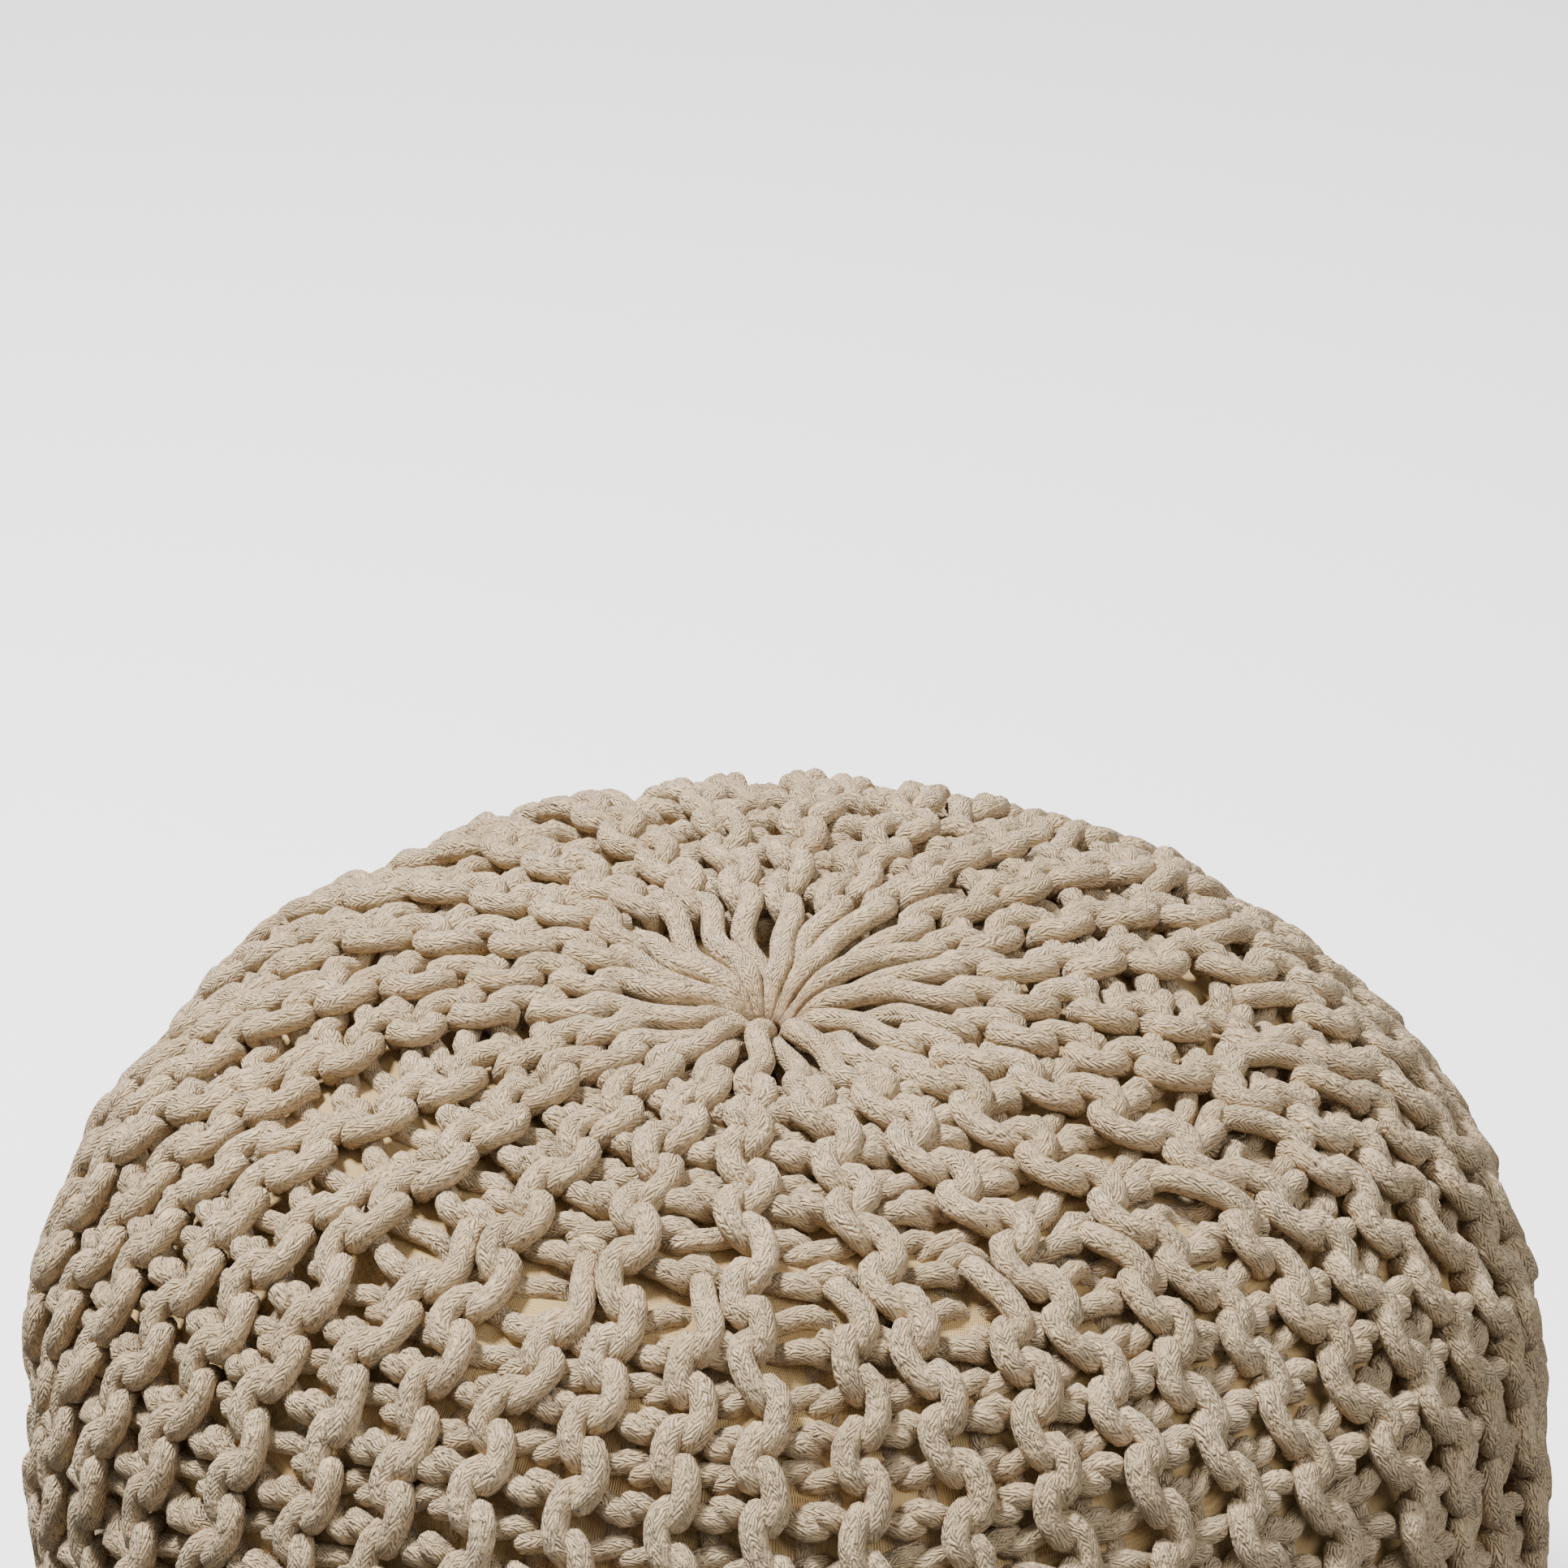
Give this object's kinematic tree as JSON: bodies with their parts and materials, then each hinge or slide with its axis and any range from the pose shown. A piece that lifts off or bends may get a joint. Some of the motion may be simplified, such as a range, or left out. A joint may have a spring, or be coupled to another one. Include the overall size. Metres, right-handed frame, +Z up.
{
  "type": "knitted pouf",
  "caption": "Round floor pouf: a ridged garter-stitch cover of thick cotton cord, gathered into a hub at top and bottom, over a filled calico bag.",
  "frame": {"origin": "on the floor, under the middle of the pouf", "axes": "+Z up, from the face it rests on to the crown; the top hub is gathered 4.5 mm towards -X"},
  "size_m": [0.4999, 0.4998, 0.3479],
  "materials": {
    "cotton_cord": "undyed thick knitted cotton cord, matt and slightly hairy, with small dark seed flecks",
    "calico": "unbleached plain-weave calico, matt, creamy yellow"
  },
  "bodies": {
    "root": {"knit_cover": "cotton_cord", "inner_bag": "calico"}
  },
  "joints": []
}
